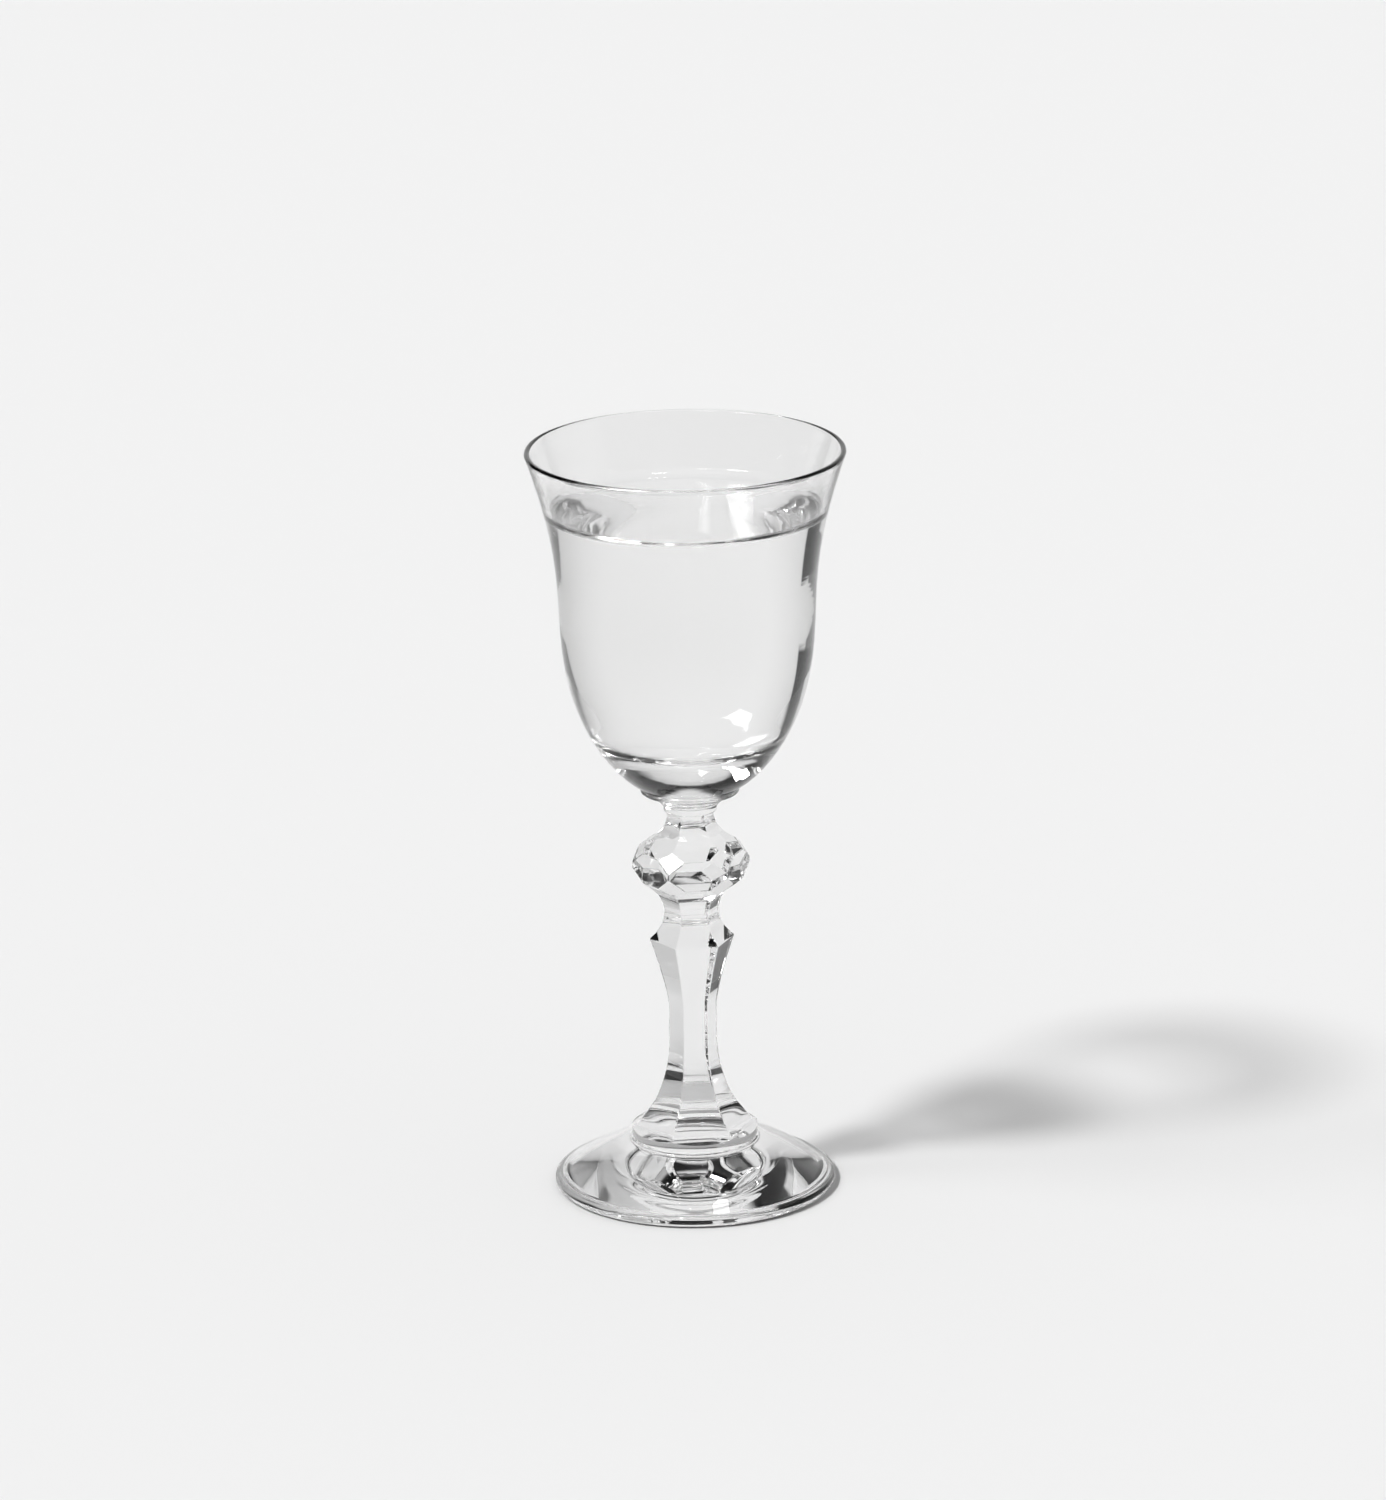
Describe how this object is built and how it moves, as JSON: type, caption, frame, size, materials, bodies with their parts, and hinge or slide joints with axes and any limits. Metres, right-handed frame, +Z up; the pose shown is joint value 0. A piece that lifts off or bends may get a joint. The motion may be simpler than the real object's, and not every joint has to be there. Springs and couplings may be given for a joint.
{
  "type": "vodka glass",
  "caption": "Small stemmed vodka glass: a clear bell-shaped bowl with a flared rim on a cut six-sided stem with a faceted knop, standing on a round, low-domed foot.",
  "frame": {"origin": "centre of the ring under the foot that stands on the table", "axes": "+Z up along the glass's axis towards the rim; -Y faces one flat of the six-sided stem"},
  "size_m": [0.056, 0.056, 0.1346],
  "materials": {
    "bowl_glass": "fire-polished clear",
    "merese_glass": "fire-polished clear",
    "knop_glass": "cut and polished clear",
    "baluster_glass": "cut and polished clear",
    "foot_glass": "fire-polished clear"
  },
  "bodies": {
    "root": {"bowl": "bowl_glass", "merese": "merese_glass", "knop": "knop_glass", "baluster": "baluster_glass", "foot": "foot_glass"}
  },
  "joints": []
}
